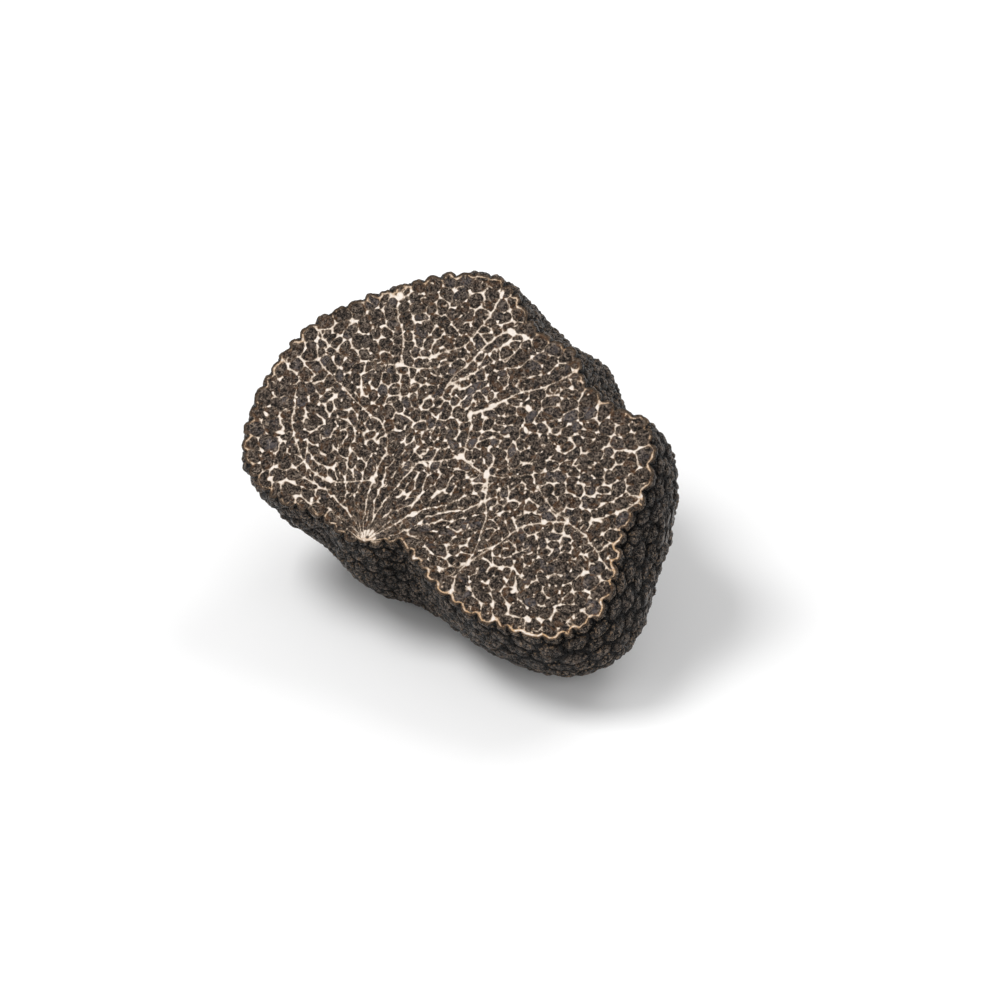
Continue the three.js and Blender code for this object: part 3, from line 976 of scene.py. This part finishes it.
skinFinish = {
    # painted shade: the near-black laid in the valleys between the warts, in the creases and in tiny pits
    "valley": (0.003, 0.0025, 0.0023, 1),
    "side": (0.0062, 0.0052, 0.0048, 1),
    # painted highlight: the lighter colour laid on the raised knobs
    "topHighlight": (0.108, 0.083, 0.066, 1),
    # painted highlight: small pale glints laid on the warts
    "paintedGlint": (0.33, 0.27, 0.22, 1),
    "tan": (0.4, 0.27, 0.17, 1),
    "ringLine": (0.1, 0.066, 0.042, 1),
    # how strongly each is laid on
    "paintedGlints": 0.5,
    # painted shade: share of the near-black specks laid on the warts as tiny shaded pits
    "pitShade": 0.4,
    "flecks": 0.45,
    "ring": 0.75,
    # sizes of the patterns in metres
    "grain": 0.00022,
    "mottle": 0.0007,
    "facet": 0.0009,
    "lump": 0.0011,
    "fleck": 0.0004,
    "patch": 0.005,
    "drawnOut": 1.6,  # how much longer the pattern is away from the cut
    "roughness": (0.22, 0.55),
    "gloss": 0.17,
    "bump": 0.0007,
}

fleshFinish = {
    "dark": (0.005, 0.0035, 0.0026, 1),
    "middle": (0.0555, 0.039, 0.0297, 1),
    "light": (0.2, 0.158, 0.126, 1),
    "brown": (0.1, 0.046, 0.019, 1),
    "lilac": (0.11, 0.1, 0.108, 1),
    "halo": (0.17, 0.125, 0.09, 1),
    "lace": (0.38, 0.3, 0.23, 1),
    "thinVein": (0.34, 0.255, 0.185, 1),
    "vein": (0.76, 0.64, 0.53, 1),
    "thickVein": (0.93, 0.84, 0.76, 1),
    "gold": (0.6, 0.37, 0.19, 1),
    "rimLine": (0.11, 0.07, 0.042, 1),
    # how strongly each is laid on
    "lights": 0.8,
    "warmth": 0.5,
    "glassy": 0.7,
    "speckle": 0.32,
    "specks": 0.7,
    "edges": 0.4,
    "shadows": 0.85,
    "halos": 0.6,
    "laces": 0.62,
    "line": 0.6,
    # sizes of the patterns in metres
    "grain": 0.0003,
    "mottle": 0.0008,
    "lump": 0.0006,
    "lacing": 0.0008,
    "fray": 0.00028,
    "blush": 0.0008,
    "patch": 0.0009,
    "roughness": (0.65, 0.5),
    "gloss": 0.14,
    "bump": 0.0003,
}


class Nodes:
    # Short ways to add nodes to a material's or group's tree, and a colour that grows layer by layer.
    def __init__(self, tree, look=None):
        self.tree = tree
        self.look = look
        self.colour = None
        tree.nodes.clear()

    def add(self, kind, **values):
        node = self.tree.nodes.new(kind)
        for name, value in values.items():
            setattr(node, name, value)
        return node

    def feed(self, socket, value):
        if isinstance(value, bpy.types.NodeSocket):
            self.tree.links.new(value, socket)
        else:
            socket.default_value = value

    # feeds a node's inputs in order, and gives its first output
    def fed(self, node, *values, first=0):
        for socket, value in zip(node.inputs[first:], values):
            self.feed(socket, value)
        return node.outputs[0] if len(node.outputs) else None

    # feeds a node's inputs by name
    def named(self, node, values):
        for name, value in values.items():
            self.feed(node.inputs[name], value)
        return node

    def math(self, operation, a, b=0.0):
        return self.fed(self.add("ShaderNodeMath", operation=operation), a, b)

    def times(self, a, b):
        return self.math("MULTIPLY", a, b)

    # 0 below low, 1 above high, soft between
    def ramp(self, value, low, high, start=0.0, end=1.0):
        node = self.add("ShaderNodeMapRange", interpolation_type="SMOOTHSTEP")
        return self.fed(node, value, low, high, start, end)

    def blend(self, share, a, b):
        node = self.add("ShaderNodeMix", data_type="RGBA")
        self.feed(node.inputs[0], share)
        self.fed(node, a, b, first=6)
        return node.outputs[2]

    # lays a colour on what is there
    def lay(self, name, mask, strength=None):
        share = self.times(mask, strength) if strength else mask
        self.colour = self.blend(share, self.colour, self.look[name])

    def math3(self, operation, a, b):
        return self.fed(self.add("ShaderNodeVectorMath", operation=operation), a, b)

    def value(self, name):
        return self.add("ShaderNodeAttribute", attribute_name=name).outputs["Fac"]

    def noise(self, place, size, detail=2.0, roughness=0.5):
        values = {"Vector": place, "Scale": self.math("DIVIDE", 1.0, size), "Detail": detail,
                  "Roughness": roughness}
        return self.named(self.add("ShaderNodeTexNoise"), values).outputs["Fac"]

    # distance to the lines of a net of cells, which wander by a soft random shift
    def net(self, place, size, shiftedFrom, waveSize, reach):
        shift = self.named(self.add("ShaderNodeTexNoise"), {"Vector": shiftedFrom, "Scale": 1 / waveSize})
        centred = self.math3("SUBTRACT", shift.outputs["Color"], (0.5, 0.5, 0.5))
        shifted = self.math3("ADD", place, self.math3("MULTIPLY", centred, (reach, reach, reach)))
        cells = self.add("ShaderNodeTexVoronoi", feature="DISTANCE_TO_EDGE")
        return self.named(cells, {"Vector": shifted, "Scale": 1 / size}).outputs["Distance"]


# Grain that the skin and the flesh share: fine speckle, soft mottling and a height for the bump.
def grainGroup():
    tree = bpy.data.node_groups.new("truffleGrain", "ShaderNodeTree")
    tree.interface.new_socket("Place", in_out="INPUT", socket_type="NodeSocketVector")
    for way, names in (("INPUT", ("Grain", "Mottling")), ("OUTPUT", ("Speckle", "Mottle", "Height"))):
        for name in names:
            tree.interface.new_socket(name, in_out=way, socket_type="NodeSocketFloat")
    n = Nodes(tree)
    start, end = n.add("NodeGroupInput"), n.add("NodeGroupOutput")
    fine = n.noise(start.outputs["Place"], start.outputs["Grain"], 3.0, 0.6)
    coarse = n.noise(start.outputs["Place"], start.outputs["Mottling"], 2.0, 0.5)
    height = n.math("ADD", fine, n.times(coarse, 0.5))
    n.fed(end, n.ramp(fine, 0.42, 0.66), n.ramp(coarse, 0.35, 0.65), height)
    return tree


grain = grainGroup()


def startFinish(name, look):
    material = bpy.data.materials.new(name)
    material.use_nodes = True
    n = Nodes(material.node_tree, look)
    place = n.add("ShaderNodeTexCoord").outputs["Object"]
    worked = n.add("ShaderNodeGroup", node_tree=grain)
    n.fed(worked, place, look["grain"], look["mottle"])
    return material, n, place, worked


def endFinish(n, roughness, height):
    bump = n.add("ShaderNodeBump")
    n.named(bump, {"Strength": 1.0, "Distance": n.look["bump"], "Height": height})
    shader = n.named(n.add("ShaderNodeBsdfPrincipled"), {
        "Base Color": n.colour,
        "Roughness": roughness,
        "Specular IOR Level": n.look["gloss"],
        "Normal": bump.outputs[0],
    })
    n.fed(n.add("ShaderNodeOutputMaterial"), shader.outputs[0])


def makeSkinFinish():
    look = skinFinish
    material, n, place, worked = startFinish("truffleSkin", look)
    wart, speckle = n.value("wart"), worked.outputs["Speckle"]
    # the pattern is drawn out away from the cut
    turned = n.add("ShaderNodeMapping", vector_type="TEXTURE")
    drawn = n.fed(turned, place, (0, 0, 0), (tilt, 0, 0), (1, 1, look["drawnOut"]))
    # small facets that crumple the warts
    facets = n.ramp(n.net(drawn, look["facet"], place, 0.0006, 0.0004), 0.0, 0.14)
    lumps = n.noise(drawn, look["lump"], 3.0, 0.55)
    height = n.math("ADD", n.times(facets, 0.26), n.times(lumps, 1.3))
    ridge = n.math("ADD", n.value("ridge"), n.math("SUBTRACT", lumps, 0.5))
    crease = n.times(facets, n.ramp(n.value("crease"), 0.1, 0.8))
    # painted shade: the valleys between the warts start near-black, and hollows in the relief darken
    # towards it
    n.colour = look["valley"]
    n.lay("side", n.ramp(wart, 0.05, 0.5))
    n.lay("valley", n.ramp(ridge, 0.0, -0.35))
    # painted highlight on the raised knobs of the warts, fainter in their creases
    raised = n.times(n.ramp(ridge, -0.1, 0.4), n.ramp(wart, 0.08, 0.6))
    n.lay("topHighlight", n.times(raised, n.ramp(crease, 0.0, 1.0, 0.15, 1.0)))
    onWart = n.ramp(wart, 0.1, 0.5)
    # painted glints: small pale specks on the warts that stand in for light caught by the skin
    n.lay("paintedGlint", n.times(n.ramp(speckle, 0.55, 1.0), onWart), look["paintedGlints"])
    # painted shade: small near-black specks on the warts as shade in tiny pits
    n.lay("valley", n.times(n.ramp(speckle, 0.45, 0.0), onWart), look["pitShade"])
    # pale tan flecks on the ridges, thickest towards the tips
    flecks = n.ramp(n.noise(drawn, look["fleck"], 3.0, 0.65), 0.5, 0.62)
    patch = n.ramp(n.noise(place, look["patch"], 3.0), 0.4, 0.62, 0.06, 1.0)
    n.lay("tan", n.times(flecks, n.times(n.ramp(ridge, 0.2, 0.7), patch)), look["flecks"])
    n.lay("ringLine", n.ramp(n.value("rim"), 0.0, 0.6), look["ring"])
    endFinish(n, n.ramp(speckle, 0.0, 1.0, *look["roughness"]), height)
    return material


def makeFleshFinish():
    look = fleshFinish
    material, n, place, worked = startFinish("truffleFlesh", look)
    speckle, mottle = worked.outputs["Speckle"], worked.outputs["Mottle"]
    rim, tone = n.value("rim"), n.value("tone")
    fray = n.times(n.math("SUBTRACT", n.noise(place, look["fray"]), 0.5), 0.2)
    vein = n.math("ADD", n.value("vein"), fray)
    blush, patch = n.noise(place, look["blush"]), n.noise(place, look["patch"])
    # lumps of dark and lighter flesh, each lobule a little browner or greyer than the next
    lumps = n.noise(place, look["lump"], 3.0, 0.65)
    n.colour = look["dark"]
    n.lay("middle", n.ramp(lumps, 0.4, 0.55))
    n.lay("light", n.ramp(lumps, 0.53, 0.7), look["lights"])
    n.lay("brown", n.times(n.ramp(tone, 0.35, 0.0), n.ramp(blush, 0.42, 0.6)), look["warmth"])
    grey = n.ramp(n.noise(place, 2 * look["blush"]), 0.4, 0.65)
    n.lay("lilac", n.times(n.ramp(tone, 0.65, 1.0), grey), look["glassy"])
    n.lay("light", speckle, look["speckle"])
    n.lay("dark", n.times(n.ramp(speckle, 0.3, 0.0), n.ramp(mottle, 1.0, 0.2)), look["specks"])
    # dark edges, brown shadows and a pale halo beside the veins
    n.lay("dark", n.times(n.ramp(vein, -0.34, -0.12), n.ramp(lumps, 0.62, 0.45)), look["edges"])
    n.lay("brown", n.times(n.ramp(vein, -0.35, -0.08), n.ramp(blush, 0.52, 0.66)), look["shadows"])
    n.lay("halo", n.times(n.ramp(vein, -0.2, 0.0), n.ramp(patch, 0.3, 0.6)), look["halos"])
    # faint curved threads inside the lobules
    threads = n.ramp(n.net(place, look["lacing"], place, 0.0009, 0.0005), 0.09, 0.02)
    n.lay("lace", n.times(threads, n.ramp(n.noise(place, 0.0007), 0.54, 0.64)), look["laces"])
    # thin veins are tan, thick ones nearly white, and golden next to the skin
    pale = n.blend(n.ramp(vein, -0.02, 0.07), look["thinVein"], look["vein"])
    patchy = n.ramp(n.noise(place, 0.0014, 3.0, 0.6), 0.3, 0.6, 0.3, 1.0)
    nearRim = n.times(n.times(n.ramp(rim, 1.0, 0.2), n.value("gold")), patchy)
    pale = n.blend(n.ramp(vein, 0.04, 0.19), n.blend(nearRim, pale, look["gold"]), look["thickVein"])
    n.colour = n.blend(n.ramp(vein, -0.055, 0.03), n.colour, pale)
    patchy = n.ramp(n.noise(place, look["patch"], 3.0), 0.35, 0.6)
    n.lay("rimLine", n.times(n.ramp(rim, 0.24, 0.04), patchy), look["line"])
    endFinish(n, n.ramp(vein, -0.03, 0.06, *look["roughness"]), worked.outputs["Height"])
    return material


skin.data.materials.append(makeSkinFinish())
flesh.data.materials.append(makeFleshFinish())
for piece in (skin, flesh):
    toMetres(piece)
    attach(piece, "root")
    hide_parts("truffle_half")
print("finishes laid on")

# The studio

studio = {
    # in millimetres
    "target": (8.930, -8.493, 23.015),
    "camera": (120.510, -315.058, 268.854),
    "lens": 100,
    "sensor": 36,
    "lampAim": (0, 0, 0.02),  # in metres, as the lights
    "floor": (0.93, 0.93, 0.93, 1),
    "floorRoughness": 0.9,
    "sky": 0.34,
    # lights: (place in metres, width in metres, watts)
    "lights": [
        ((-0.30, -0.10, 0.60), 0.26, 2.7),
        ((-0.45, -0.40, 0.30), 0.35, 0.8),
        ((0.50, -0.25, 0.35), 0.35, 0.9),
        ((0.20, 0.45, 0.45), 0.40, 1.6),
    ],
}


def makeStudio():
    scene = bpy.context.scene
    bpy.ops.object.select_all(action="DESELECT")
    bpy.ops.mesh.primitive_plane_add(size=4, location=(0, 0, 0))
    floor = bpy.context.object
    floor.name = "studioFloor"
    paper = bpy.data.materials.new("palePaper")
    paper.use_nodes = True
    shader = paper.node_tree.nodes["Principled BSDF"]
    shader.inputs["Base Color"].default_value = studio["floor"]
    shader.inputs["Roughness"].default_value = studio["floorRoughness"]
    floor.data.materials.append(paper)
    world = bpy.data.worlds.new("softSky")
    scene.world = world
    world.use_nodes = True
    sky = world.node_tree.nodes["Background"]
    sky.inputs["Color"].default_value = (1, 1, 1, 1)
    sky.inputs["Strength"].default_value = studio["sky"]
    aim = Vector(studio["lampAim"])
    for number, (place, width, watts) in enumerate(studio["lights"], 1):
        bpy.ops.object.light_add(type="AREA", location=place)
        lamp = bpy.context.object
        lamp.name = f"softLamp{number}"
        lamp.data.size = width
        lamp.data.energy = watts
        lamp.rotation_euler = (Vector(place) - aim).to_track_quat("Z", "Y").to_euler()
    bpy.ops.object.camera_add(location=Vector(studio["camera"]) / 1000)
    camera = bpy.context.object
    camera.data.lens = studio["lens"]
    camera.data.sensor_width = studio["sensor"]
    camera.data.clip_start = 0.01
    back = Vector(studio["camera"]) - Vector(studio["target"])
    camera.rotation_euler = back.to_track_quat("Z", "Y").to_euler()
    scene.camera = camera
    scene.view_settings.view_transform = "Standard"


makeStudio()
print("studio set")
